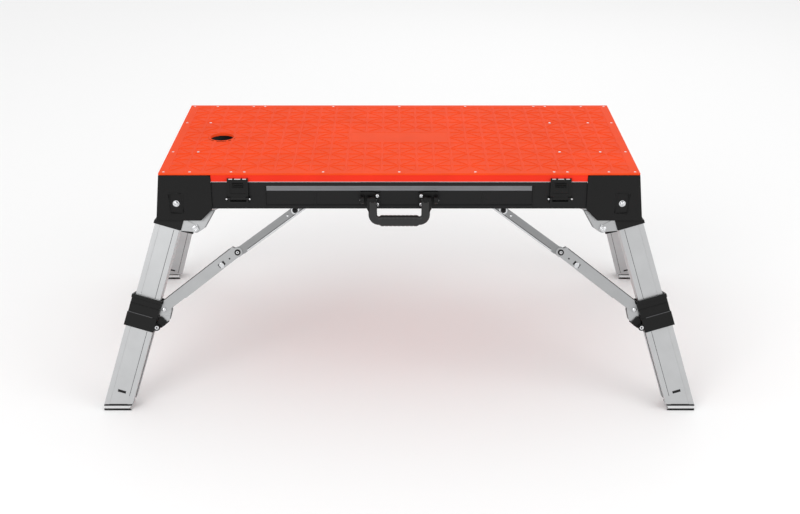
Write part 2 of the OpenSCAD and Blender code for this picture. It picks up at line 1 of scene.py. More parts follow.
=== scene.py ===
"""Folding work platform bench: a patterned orange deck on a black frame, with telescoping legs.

Laid out as a Blender add-on and run as a script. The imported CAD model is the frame: every piece is
placed from its nodes and joints and rides on one of its bodies. All but a few thin trims stand for
one of its nodes.
"""

import json
import math

import bmesh
import bpy
from bpy.props import FloatProperty, FloatVectorProperty, IntProperty, PointerProperty
from mathutils import Matrix, Vector


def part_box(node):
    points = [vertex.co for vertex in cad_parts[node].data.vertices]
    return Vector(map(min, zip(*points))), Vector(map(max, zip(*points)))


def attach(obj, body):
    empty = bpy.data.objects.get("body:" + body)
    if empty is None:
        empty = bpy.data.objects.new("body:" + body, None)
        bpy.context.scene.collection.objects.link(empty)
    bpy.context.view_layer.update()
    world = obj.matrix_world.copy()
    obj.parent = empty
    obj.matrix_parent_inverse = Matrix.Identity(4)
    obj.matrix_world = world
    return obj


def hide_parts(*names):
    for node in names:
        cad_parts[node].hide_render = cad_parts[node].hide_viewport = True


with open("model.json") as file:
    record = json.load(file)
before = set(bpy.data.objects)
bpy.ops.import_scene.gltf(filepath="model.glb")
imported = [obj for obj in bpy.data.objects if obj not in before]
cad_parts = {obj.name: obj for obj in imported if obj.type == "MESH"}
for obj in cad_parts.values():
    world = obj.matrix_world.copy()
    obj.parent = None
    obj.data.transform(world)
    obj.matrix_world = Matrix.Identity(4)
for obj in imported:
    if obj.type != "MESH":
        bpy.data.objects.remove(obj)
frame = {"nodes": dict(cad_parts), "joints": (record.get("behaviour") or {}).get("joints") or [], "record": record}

bl_info = {
    "name": "Folding work platform bench",
    "version": (1, 0, 0),
    "blender": (4, 5, 0),
    "location": "View3D > Sidebar > Bench",
    "description": "Builds the visible pieces of a folding work platform bench around its CAD frame",
    "category": "Object",
}

MM = 0.001
CORNERS = ("front_left", "front_right", "back_left", "back_right")
JOINTS = {joint["name"]: joint for joint in frame["joints"]}
MOUNTS = {mount["name"]: mount for mount in frame["record"]["mounts"]}
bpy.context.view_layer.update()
DECK_LOW, DECK_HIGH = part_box("deck_panel")
DECK_HALF_X, DECK_HALF_Y, DECK_TOP = DECK_HIGH
HOLE_RADIUS = MOUNTS["deck_hole"]["dims"]["r_mm"] * MM
PLAIN_HALF = (3, 1)       # half of the plain panel in the pattern, in squares along and across
RAIL_Y = 284.5 * MM       # outer face of the side rails
PANEL_HALF = 336 * MM     # half length of the shallow recess in each rail
STRIP_HALF = 468 * MM     # half length of the bright strip between the corner blocks
LEG_THICK = 40 * MM       # front to back, across the plane of a leg
LEG_INSET = 38.4 * MM     # from the hinge to the leg's inner edge
LEG_WIDTH = 64 * MM
SLEEVE = (3 * MM, 4 * MM)          # the lower leg's reach past the upper one, in its plane and across it
RIDGE = 13 * MM                    # width of the raised strips along both edges of a leg's faces
HINGE = (516 * MM, 157 * MM)       # hinge in its leg plane: out from the middle, down from the deck
STRUT_HEAD = (264 * MM, 111 * MM)  # upper end of a strut in the same plane
BLOCK_BOLT = (560 * MM, 80 * MM)   # a corner block's bolt: out from the middle, down from the deck
BLOCK_HEIGHT = 126 * MM
BEADS = (-578 * MM, -190 * MM)     # ends of the fine beads on the deck
# places along a leg, up from its hinge
UPPER_GROOVES = (-202 * MM, -18 * MM)
COLLAR_BEAD = -226.4 * MM
CLAMP_SCREW = -238 * MM
COLLAR_RIB = -249.5 * MM
LEVER_RIBS = -257 * MM
LOWER_GROOVES = (-462 * MM, -288 * MM)
LOCK_SLOT = -456 * MM


def linear(code):
    """A colour given as an sRGB hex value, turned to the linear values that shaders use."""
    parts = [int(code[i:i + 2], 16) / 255 for i in (1, 3, 5)]
    return tuple(p / 12.92 if p <= 0.04045 else ((p + 0.055) / 1.055) ** 2.4 for p in parts)


# ---- What a user would change ----

class BenchColours(bpy.types.PropertyGroup):
    """Colours of the bench's finishes."""

    deck: FloatVectorProperty(
        name="Deck", description="Moulded orange of the deck's top",
        default=linear("#E9481A"), subtype="COLOR", size=3, min=0, max=1)
    # painted shade: a darker, redder copy of the deck's orange for the upright edges
    skirt: FloatVectorProperty(
        name="Skirt", description="Moulded orange-red of the deck's edges",
        default=linear("#E62E17"), subtype="COLOR", size=3, min=0, max=1)
    coat: FloatVectorProperty(
        name="Rails", description="Black powder coat of the rails",
        default=linear("#060607"), subtype="COLOR", size=3, min=0, max=1)
    nylon: FloatVectorProperty(
        name="Plastic", description="Black moulded nylon of the blocks, collars and handle",
        default=linear("#060606"), subtype="COLOR", size=3, min=0, max=1)
    aluminium: FloatVectorProperty(
        name="Legs", description="Drawn aluminium of the legs",
        default=linear("#C2C3C4"), subtype="COLOR", size=3, min=0, max=1)
    zinc: FloatVectorProperty(
        name="Struts", description="Zinc plate on the struts and brackets",
        default=linear("#B9BABB"), subtype="COLOR", size=3, min=0, max=1)
    bright: FloatVectorProperty(
        name="Fasteners", description="Bright plate on screws, rivets and pins",
        default=linear("#DADBDD"), subtype="COLOR", size=3, min=0, max=1)
    rubber: FloatVectorProperty(
        name="Rubber", description="Black rubber under the feet",
        default=linear("#121212"), subtype="COLOR", size=3, min=0, max=1)


class BenchShape(bpy.types.PropertyGroup):
    """Sizes of the bench's moulded and machined details."""

    columns: IntProperty(
        name="Columns", description="Squares of the grip pattern along the deck",
        default=26, min=4, max=60)
    rows: IntProperty(
        name="Rows", description="Squares of the grip pattern across the deck",
        default=12, min=4, max=30)
    margin: FloatProperty(
        name="Margin", description="Plain edge round the grip pattern",
        default=20 * MM, unit="LENGTH", min=5 * MM, max=40 * MM)
    band: FloatProperty(
        name="Band", description="Width of the pattern's raised bands",
        default=9 * MM, unit="LENGTH", min=3 * MM, max=14 * MM)
    recess: FloatProperty(
        name="Recess", description="Depth of the pattern's triangles",
        default=1.5 * MM, unit="LENGTH", min=0.3 * MM, max=3 * MM)
    metal_edge: FloatProperty(
        name="Metal edge", description="Rounding of the metal parts' edges",
        default=0.5 * MM, unit="LENGTH", min=0.1 * MM, max=2 * MM)
    moulded_edge: FloatProperty(
        name="Moulded edge", description="Rounding of the moulded parts' edges",
        default=1.4 * MM, unit="LENGTH", min=0.2 * MM, max=3 * MM)


def colours():
    """The colours as the user has set them."""
    return bpy.context.scene.bench_colours


def shape():
    """The sizes as the user has set them."""
    return bpy.context.scene.bench_shape


# ---- Finishes ----

def add_node(tree, kind, inputs=None, **settings):
    """Adds one node; inputs maps a socket's name or number to a value or to the socket that feeds it."""
    node = tree.nodes.new(kind)
    for key, value in settings.items():
        setattr(node, key, value)
    for key, value in (inputs or {}).items():
        if isinstance(value, bpy.types.NodeSocket):
            tree.links.new(value, node.inputs[key])
        else:
            node.inputs[key].default_value = value
    return node


def blank_finish(name):
    """A material with an empty node tree, and the piece's own coordinates to draw its patterns on."""
    material = bpy.data.materials.new(name)
    material.use_nodes = True
    tree = material.node_tree
    tree.nodes.clear()
    return material, tree, add_node(tree, "ShaderNodeTexCoord").outputs["Object"]


def shade(tree, colour, shares, tint, roughness, wear, surface, relief=None):
    """Adds a finish's shader and output.

    The pattern tint moves the colour between two shares of itself, and the pattern wear moves the
    roughness between two values. relief is a third pattern with its depth and strength, and surface
    holds the shader's other inputs.
    """
    low, high = [tuple(min(1, part * share) for part in colour) + (1,) for share in shares]
    mix = add_node(tree, "ShaderNodeMix", {"Factor": tint, 6: low, 7: high}, data_type="RGBA")
    spread = add_node(tree, "ShaderNodeMapRange",
                      {"Value": wear, "To Min": roughness[0], "To Max": roughness[1]})
    inputs = {"Base Color": mix.outputs[2], "Roughness": spread.outputs["Result"], **surface}
    if relief:
        pattern, depth, strength = relief
        bump = add_node(tree, "ShaderNodeBump",
                        {"Height": pattern, "Distance": depth, "Strength": strength})
        inputs["Normal"] = bump.outputs["Normal"]
    shader = add_node(tree, "ShaderNodeBsdfPrincipled", inputs)
    add_node(tree, "ShaderNodeOutputMaterial", {"Surface": shader.outputs["BSDF"]})


def moulded_plastic(name, colour, roughness, grain, depth, gloss):
    """Injection-moulded plastic: an even colour with a spark-eroded grain that breaks up its gloss."""
    material, tree, place = blank_finish(name)
    cloud = add_node(tree, "ShaderNodeTexNoise",
                     {"Vector": place, "Scale": 1 / (90 * MM), "Detail": 4.0}).outputs["Fac"]
    fleck = add_node(tree, "ShaderNodeTexNoise",
                     {"Vector": place, "Scale": 1 / grain, "Detail": 3.0, "Roughness": 0.6}).outputs["Fac"]
    shade(tree, colour, (0.9, 1.08), cloud, (roughness - 0.09, roughness + 0.09), fleck,
          {"Specular IOR Level": gloss}, (fleck, depth, 0.8))
    return material


def orange_abs():
    # ABS, moulded with a fine grain: saturated, softly glossy. The grain is drawn at 1.2 mm to show
    return moulded_plastic("moulded_orange_abs", colours().deck, 0.58, 1.2 * MM, 0.05 * MM, 0.1)


def skirt_abs():
    # painted shade: the same ABS on the upright edges, given a darker and redder copy of the deck's colour
    return moulded_plastic("skirt_abs_painted_shade", colours().skirt, 0.5, 1.2 * MM, 0.04 * MM, 0.15)


def black_nylon():
    # glass-filled nylon, moulded: dull black with a slightly coarse, faintly shiny grain
    return moulded_plastic("moulded_black_nylon", colours().nylon, 0.45, 1.0 * MM, 0.07 * MM, 0.25)


def smooth_nylon():
    # the same nylon polished by hands on the grip, so it shows softer, brighter lights
    return moulded_plastic("handled_black_nylon", colours().nylon, 0.34, 1.6 * MM, 0.04 * MM, 0.55)


def foot_rubber():
    # moulded rubber: deep black, no gloss, with a matt bloom in patches
    return moulded_plastic("moulded_black_rubber", colours().rubber, 0.78, 0.9 * MM, 0.08 * MM, 0.3)


def pale_band():
    # grey thermoplastic spacer between the leg's end and its rubber sole
    return moulded_plastic("moulded_grey_spacer", linear("#D2D3D4"), 0.45, 1.2 * MM, 0.03 * MM, 0.5)


def shadow_plastic(name, code):
    # painted shade: the same dull plastic, near black, put in grooves and slots that are too narrow to let light
    # in
    return moulded_plastic(name, linear(code), 0.6, 1.5 * MM, 0.02 * MM, 0.3)


def powder_coat(name, colour, roughness):
    """Polyester powder coat on metal: satin, with an orange-peel ripple of 2 mm."""
    material, tree, place = blank_finish(name)
    peel = add_node(tree, "ShaderNodeTexNoise",
                    {"Vector": place, "Scale": 1 / (2 * MM), "Detail": 2.0}).outputs["Fac"]
    haze = add_node(tree, "ShaderNodeTexNoise",
                    {"Vector": place, "Scale": 1 / (60 * MM), "Detail": 5.0}).outputs["Fac"]
    shade(tree, colour, (0.85, 1.2), haze, (roughness - 0.06, roughness + 0.1), haze,
          {"Specular IOR Level": 0.25, "Coat Weight": 0.05, "Coat Roughness": 0.25},
          (peel, 0.06 * MM, 0.7))
    return material


def drawn_metal(name, colour, turn, line, run, roughness):
    """Metal with fine lines along its length.

    turn points local x along the part; line and run are the lines' spacing and length.
    """
    material, tree, place = blank_finish(name)
    along = add_node(tree, "ShaderNodeMapping",
                     {"Vector": place, "Rotation": turn, "Scale": (run, line, line)},
                     vector_type="TEXTURE").outputs["Vector"]
    lines = add_node(tree, "ShaderNodeTexNoise",
                     {"Vector": along, "Scale": 1.0, "Detail": 4.0, "Roughness": 0.65}).outputs["Fac"]
    haze = add_node(tree, "ShaderNodeTexNoise",
                    {"Vector": place, "Scale": 1 / (45 * MM), "Detail": 4.0}).outputs["Fac"]
    shade(tree, colour, (0.9, 1.05), haze, (roughness - 0.1, roughness + 0.1), lines,
          {"Metallic": 1.0}, (lines, 0.02 * MM, 0.6))
    return material


def drawn_aluminium(corner):
    # 6063 aluminium extrusion with its natural oxide: satin, with die lines along the leg about
    # 0.8 mm apart, drawn a little coarser than real so they show
    _, inward, up, outboard, _ = leg_axes(corner)
    return drawn_metal("drawn_aluminium_" + corner, colours().aluminium,
                       proper_turn(placed_axes(up, inward, outboard)), 0.9 * MM, 220 * MM, 0.36)


def zinc_plate(corner, kind):
    # zinc-plated, cold-rolled sheet: grey, half bright, with faint rolling marks along the arm
    place, _ = strut_place(corner, kind)
    share = 0.9 if kind == "lower" else 0.6   # the upper arms' plate is a dark, blackish grade
    return drawn_metal(f"zinc_plate_{kind}_{corner}", [part * share for part in colours().zinc],
                       proper_turn(place), 1.2 * MM, 40 * MM, 0.33)


def zinc_bracket():
    # the same plate on small pressed parts, where the marks run with the deck
    return drawn_metal("zinc_plate_bracket", colours().zinc, (0, 0, 0), 1.5 * MM, 12 * MM, 0.3)


def bright_plate():
    """Nickel-bright fastener plate: a clean mirror softened by handling."""
    material, tree, place = blank_finish("bright_fastener_plate")
    smear = add_node(tree, "ShaderNodeTexNoise",
                     {"Vector": place, "Scale": 1 / (4 * MM), "Detail": 3.0}).outputs["Fac"]
    shade(tree, colours().bright, (0.92, 1.05), smear, (0.12, 0.26), smear, {"Metallic": 1.0})
    return material


# ---- Places ----

def side_of(corner):
    """The corner's signs along x and y."""
    return (1 if "right" in corner else -1), (1 if "back" in corner else -1)


def leg_axes(corner):
    """The hinge, and the leg plane's inward, leg's up and outboard, and plane's down directions."""
    side_x, side_y = side_of(corner)
    fold = JOINTS["leg_fold_" + corner]
    inward = Vector(fold["axis"]).normalized() * (-side_x * side_y)
    up = Vector(JOINTS["leg_slide_" + corner]["axis"]).normalized()
    outboard = up.cross(inward).normalized()
    if outboard.x * side_x < 0:
        outboard.negate()
    down = inward.cross(Vector((1, 0, 0))).normalized()
    if down.z > 0:
        down.negate()
    return Vector(fold["pos_m"]), inward, up, outboard, down


def placed_axes(x, y, z, origin=(0, 0, 0)):
    """The matrix that turns local x, y and z to three directions and moves them to a point."""
    matrix = Matrix((x, y, z)).transposed().to_4x4()
    matrix.translation = origin
    return matrix


def proper_turn(place):
    """The turn of a placing matrix as angles, with a mirrored one made right-handed first."""
    turn = place.to_3x3()
    if turn.determinant() < 0:
        turn.col[1] = -turn.col[1]
    return tuple(turn.to_euler())


def leg_place(corner):
    """Local x outboard, y inward from the leg's outer face, z up the leg, from the hinge."""
    hinge, inward, up, outboard, _ = leg_axes(corner)
    return placed_axes(outboard, inward, up, hinge - inward * LEG_THICK / 2)


def strut_place(corner, kind):
    """Local x from the arm's own pivot to the knee, y inward, z on its upper side; and its length."""
    side_x, _ = side_of(corner)
    hinge, inward, _, _, down = leg_axes(corner)
    knee = Vector(JOINTS["knee_" + corner]["pos_m"])
    if kind == "lower":
        start = Vector(JOINTS["lower_strut_turn_" + corner]["pos_m"])
    else:
        start = (hinge + Vector((side_x, 0, 0)) * (STRUT_HEAD[0] - HINGE[0])
                 + down * (STRUT_HEAD[1] - HINGE[1]))
    along = (knee - start).normalized()
    upper = along.cross(inward).normalized()
    if upper.z < 0:
        upper.negate()
    return placed_axes(along, inward, upper, start - inward * LEG_THICK / 2), (knee - start).length


def facing(point, direction):
    """Places local z along a direction at a point."""
    matrix = Vector(direction).to_track_quat("Z", "Y").to_matrix().to_4x4()
    matrix.translation = point
    return matrix


def lengthwise(start):
    """Places an outline drawn in y and z so that it is raised along x from a start."""
    return Matrix(((0, 0, 1, start), (1, 0, 0, 0), (0, 1, 0, 0), (0, 0, 0, 1)))


def upright(y, way):
    """Places an outline drawn in x and z on a face across y, raised to one side of it."""
    return Matrix(((1, 0, 0, 0), (0, 0, way, y), (0, 1, 0, 0), (0, 0, 0, 1)))


# ---- Shapes ----

def mm(points):
    """Points given in millimetres, in metres."""
    return [tuple(part * MM for part in point) for point in points]


def keep_round(mesh):
    """Shades a mesh smooth but for its edges of more than 32 degrees."""
    for face in mesh.polygons:
        face.use_smooth = True
    mesh.set_sharp_from_angle(angle=math.radians(32))


def finished_piece(name, bm, materials, body, replaced=()):
    """Turns a bmesh, already in place, into a piece that rides on a body."""
    mesh = bpy.data.meshes.new(name)
    bm.to_mesh(mesh)
    bm.free()
    for material in materials:
        mesh.materials.append(material)
    keep_round(mesh)
    piece = bpy.data.objects.new(name, mesh)
    bpy.context.scene.collection.objects.link(piece)
    piece.modifiers.new("even shading", "WEIGHTED_NORMAL").keep_sharp = True
    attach(piece, body)
    if replaced:
        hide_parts(*replaced)
    return piece


def round_edges(bm, width, segments=2, angle=30):
    """Bevels every edge that turns by more than the angle."""
    edges = [e for e in bm.edges if len(e.link_faces) == 2 and e.calc_face_angle(0) > math.radians(angle)]
    if edges:
        bmesh.ops.bevel(bm, geom=edges, offset=width, offset_type="OFFSET", affect="EDGES",
                        segments=segments, profile=0.5, clamp_overlap=True, material=-1)


def merged_copy(node):
    """A copy of a CAD node with its doubles merged and its flat faces joined."""
    bm = bmesh.new()
    bm.from_mesh(frame["nodes"][node].data)
    for face in bm.faces:
        face.material_index = 0
    bmesh.ops.remove_doubles(bm, verts=bm.verts, dist=2e-6)
    bmesh.ops.dissolve_limit(bm, angle_limit=math.radians(0.7), verts=bm.verts, edges=bm.edges)
    return bm


def cad_copy(node, width, segments=2):
    """A merged copy of a CAD node with its edges rounded."""
    bm = merged_copy(node)
    round_edges(bm, width, segments)
    return bm


def cad_piece(name, node, width, material, body, segments=2):
    """A piece that is a CAD node's own shape with rounded edges and a finish."""
    return finished_piece(name, cad_copy(node, width, segments), [material], body, (node,))


def merge(target, part, place=None, slot=0):
    """Adds one bmesh to another, in place and with its own material slot."""
    if place is not None:
        part.transform(place)
        if place.determinant() < 0:
            bmesh.ops.reverse_faces(part, faces=part.faces)
    for face in part.faces:
        face.material_index = slot
    mesh = bpy.data.meshes.new("part")
    part.to_mesh(mesh)
    part.free()
    target.from_mesh(mesh)
    bpy.data.meshes.remove(mesh)


def turned(profile, steps=24):
    """A shape turned round z from its half outline, from the axis at the top to the axis at the bottom."""
    bm = bmesh.new()
    verts = [bm.verts.new((r, 0, z)) for r, z in profile]
    edges = [bm.edges.new(pair) for pair in zip(verts, verts[1:])]
    bmesh.ops.spin(bm, geom=verts + edges, cent=(0, 0, 0), axis=(0, 0, 1), dvec=(0, 0, 0),
                   angle=2 * math.pi, steps=steps, use_merge=True, use_duplicate=False)
    bmesh.ops.remove_doubles(bm, verts=bm.verts, dist=1e-7)
    bmesh.ops.recalc_face_normals(bm, faces=bm.faces)
    return bm


def prism(outline, height, width=0.0, segments=2):
    """A flat outline in x and y raised along z, with its edges rounded."""
    bm = bmesh.new()
    face = bm.faces.new([bm.verts.new((x, y, 0)) for x, y in outline])
    raised = bmesh.ops.extrude_face_region(bm, geom=[face])["geom"]
    bmesh.ops.translate(bm, verts=[v for v in raised if isinstance(v, bmesh.types.BMVert)],
                        vec=(0, 0, height))
    bmesh.ops.recalc_face_normals(bm, faces=bm.faces)
    if width:
        round_edges(bm, width, segments)
    return bm


def block(corner, opposite, width, segments=2):
    """A rounded bar between two opposite corners."""
    (x0, x1), (y0, y1), (z0, z1) = map(sorted, zip(corner, opposite))
    bm = prism([(x0, y0), (x1, y0), (x1, y1), (x0, y1)], z1 - z0)
    bmesh.ops.translate(bm, verts=bm.verts, vec=(0, 0, z0))
    round_edges(bm, width, segments)
    return bm


def screw_head(r, h):
    """A pan head with a driver socket, its seat at z = 0."""
    return turned([(0, 0.35 * h), (0.3 * r, 0.35 * h), (0.42 * r, h), (0.62 * r, h), (0.86 * r, 0.8 * h),
                   (r, 0.35 * h), (r, 0), (0, 0)], 16)


def bolt_head(r, h):
    """A washer under a domed head with a deep socket."""
    return turned([(0, 0.45 * h), (0.3 * r, 0.45 * h), (0.36 * r, 0.98 * h), (0.52 * r, h),
                   (0.68 * r, 0.86 * h), (0.76 * r, 0.5 * h), (0.78 * r, 0.24 * h), (0.97 * r, 0.22 * h),
                   (r, 0.12 * h), (r, 0), (0, 0)], 32)


def rivet_head(r, h):
    """A closed dome."""
    return turned([(0, h), (0.35 * r, 0.95 * h), (0.65 * r, 0.76 * h), (0.88 * r, 0.42 * h), (r, 0), (0, 0)])


def hollow_pin(r, bore, h):
    """The rolled end of a tube, open in the middle."""
    rolled = 0.2 * (r - bore)
    return turned([(bore, -0.5 * h), (bore, 0.8 * h), (bore + rolled, h), (r - rolled, h), (r, 0.8 * h),
                   (r, -0.5 * h), (bore, -0.5 * h)])


def groove_lines(bm, place, reach, ends):
    """Thin lines of painted shade where a leg's raised strips meet its faces."""
    for x in (LEG_INSET - reach[0] + RIDGE, LEG_INSET + LEG_WIDTH + reach[0] - 1.6 * MM):
        for face, way in ((-reach[1], 1), (LEG_THICK + reach[1], -1)):
            line = block((x, face + way * 0.4 * MM, ends[0]), (x + 1.1 * MM, face + way * 1.6 * MM, ends[1]),
                         0.15 * MM, 1)
            merge(bm, line, place, 1)


def islands(bm):
    """Lowest and highest corners of each separate shell of a bmesh."""
    left = set(bm.verts)
    while left:
        shell, front = set(), [left.pop()]
        while front:
            vert = front.pop()
            shell.add(vert)
            for edge in vert.link_edges:
                other = edge.other_vert(vert)
                if other in left:
                    left.remove(other)
                    front.append(other)
        yield (Vector([min(v.co[i] for v in shell) for i in range(3)]),
               Vector([max(v.co[i] for v in shell) for i in range(3)]))


# ---- Operators ----

class BENCH_OT_deck(bpy.types.Operator):
    """Build the deck: a plate with a lattice of raised bands, a plain panel and a rimmed hole"""

    bl_idname = "bench.deck"
    bl_label = "Deck"

    def execute(self, context):
        s = shape()
        orange = orange_abs()
        xs = self.pattern_lines(DECK_HALF_X, s.margin, s.columns)
        ys = self.pattern_lines(DECK_HALF_Y, s.margin, s.rows)
        bm = self.lattice(xs, ys)
        rim = [e for e in bm.edges if e.is_boundary]
        walls = bmesh.ops.extrude_edge_only(bm, edges=rim)["geom"]
        low = [v for v in walls if isinstance(v, bmesh.types.BMVert)]
        bmesh.ops.translate(bm, verts=low, vec=(0, 0, DECK_LOW.z - DECK_TOP))
        bmesh.ops.edgeloop_fill(bm, edges=[e for e in bm.edges if e.is_boundary])
        bmesh.ops.recalc_face_normals(bm, faces=bm.faces)
        round_edges(bm, 1.2 * MM, 3, 60)
        deck = finished_piece("deck_plate", bm, [orange], "frame", ("deck_panel",))

        ring_low, ring_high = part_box("hole_ring")
        centre = (ring_low + ring_high) / 2
        radius = (ring_high.x - ring_low.x) / 2
        self.cut_hole(context, deck, centre, radius)
        self.bush(centre, radius, ring_low.z - DECK_TOP, orange)

        # fine beads left by the mould's inserts, along the bands a quarter of the way in
        beads = bmesh.new()
        for row in (s.rows // 4, 3 * s.rows // 4):
            y = ys[row + 1]
            merge(beads, block((BEADS[0], y - 0.7 * MM, DECK_TOP - 0.5 * MM),
                               (BEADS[1], y + 0.7 * MM, DECK_TOP + 0.35 * MM), 0.25 * MM))
        finished_piece("deck_beads", beads, [orange], "frame")
        return {"FINISHED"}

    def pattern_lines(self, half, margin, count):
        """Places of the pattern's lines along one side of the deck, with the deck's edges at the ends."""
        pitch = 2 * (half - margin) / count
        return [-half, *(-half + margin + i * pitch for i in range(count + 1)), half]

    def lattice(self, xs, ys):
        """The plate's top as one sheet: squares split along alternate diagonals, triangles sunk."""
        s = shape()
        bm = bmesh.new()
        bmesh.ops.create_grid(bm, x_segments=s.columns + 2, y_segments=s.rows + 2, size=1)
        index = {}
        for vert in bm.verts:
            i = round((vert.co.x + 1) / 2 * (s.columns + 2))
            k = round((vert.co.y + 1) / 2 * (s.rows + 2))
            vert.co = (xs[i], ys[k], DECK_TOP)
            index[vert] = (i - 1, k - 1)
        triangles, plain = [], []
        for face in list(bm.faces):
            i = min(index[v][0] for v in face.verts)
            k = min(index[v][1] for v in face.verts)
            if not (0 <= i < s.columns and 0 <= k < s.rows):
                continue
            if (abs(i + 0.5 - s.columns / 2) < PLAIN_HALF[0]
                    and abs(k + 0.5 - s.rows / 2) < PLAIN_HALF[1]):
                plain.append(face)
                continue
            at = {index[v]: v for v in face.verts}
            ends = ((i, k), (i + 1, k + 1)) if (i + k) % 2 == 0 else ((i + 1, k), (i, k + 1))
            other, _ = bmesh.utils.face_split(face, at[ends[0]], at[ends[1]])
            triangles += [face, other]
        panel = bmesh.ops.dissolve_faces(bm, faces=plain, use_verts=False)["region"]
        for faces, bevel, depth in ((triangles, 1.1 * MM, s.recess), (panel, 0.8 * MM, 0.5 * MM)):
            bmesh.ops.inset_individual(bm, faces=faces, thickness=s.band / 2, depth=0)
            bmesh.ops.inset_individual(bm, faces=faces, thickness=bevel, depth=-depth)
        return bm

    def cut_hole(self, context, deck, centre, radius):
        """Cuts the hole through the plate and stops if the plug stays."""
        bm = bmesh.new()
        bmesh.ops.create_cone(bm, cap_ends=True, segments=64, radius1=radius, radius2=radius,
                              depth=60 * MM)
        bmesh.ops.translate(bm, verts=bm.verts, vec=centre)
        cutter_mesh = bpy.data.meshes.new("cutter")
        bm.to_mesh(cutter_mesh)
        bm.free()
        cutter = bpy.data.objects.new("cutter", cutter_mesh)
        context.scene.collection.objects.link(cutter)
        cut = deck.modifiers.new("hole", "BOOLEAN")
        cut.operation, cut.solver, cut.object = "DIFFERENCE", "EXACT", cutter
        deck.modifiers.move(len(deck.modifiers) - 1, 0)
        even = deck.modifiers["even shading"]
        even.show_viewport = False
        solid = deck.data
        deck.data = bpy.data.meshes.new_from_object(
            deck.evaluated_get(context.evaluated_depsgraph_get()))
        deck.modifiers.remove(cut)
        even.show_viewport = True
        bpy.data.meshes.remove(solid)
        bpy.data.objects.remove(cutter)
        bpy.data.meshes.remove(cutter_mesh)
        deck.data.name = "deck_plate"
        keep_round(deck.data)
        if max(v.co.z for v in deck.data.vertices) > DECK_TOP + 1 * MM:
            raise RuntimeError("the hole wasn't cut from the deck")

    def bush(self, centre, radius, foot, orange):
        """The hole's lining: an orange lip, and black below it."""
        bore, outer = HOLE_RADIUS, radius - 0.2 * MM
        ring = turned([(bore + 1.2 * MM, 0.3 * MM), (radius - 1.6 * MM, 0.3 * MM), (outer, -0.5 * MM),
                       (outer, foot), (bore, foot), (bore, -7.0 * MM), (bore, -1.0 * MM),
                       (bore + 0.35 * MM, -0.2 * MM), (bore + 1.2 * MM, 0.3 * MM)], 64)
        bmesh.ops.translate(ring, verts=ring.verts, vec=(centre.x, centre.y, DECK_TOP))
        for face in ring.faces:
            face.material_index = 1 if face.calc_center_median().z < DECK_TOP - 8 * MM else 0
        finished_piece("hole_bush", ring, [orange, black_nylon()], "frame", ("hole_ring",))


class BENCH_OT_skirts(bpy.types.Operator):
    """Build the deck's skirts and the bright strip under them"""

    bl_idname = "bench.skirts"
    bl_label = "Skirts"

    def execute(self, context):
        cad_piece("deck_skirt_strips", "deck_skirts", 0.8 * MM, skirt_abs(), "frame")
        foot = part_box("deck_skirts")[0].z
        strips = bmesh.new()
        for side in (-1, 1):
            outline = [(side * (RAIL_Y + (out - 1) * MM), foot - drop * MM) for out, drop in (
                (0, 3.2), (0, 0.2), (2.2, 0.2), (2.2, 1.4), (0.9, 3.2))]
            merge(strips, prism(outline, 2 * STRIP_HALF, 0.3 * MM), lengthwise(-STRIP_HALF))
        finished_piece("skirt_light_strips", strips, [zinc_bracket()], "frame")
        return {"FINISHED"}


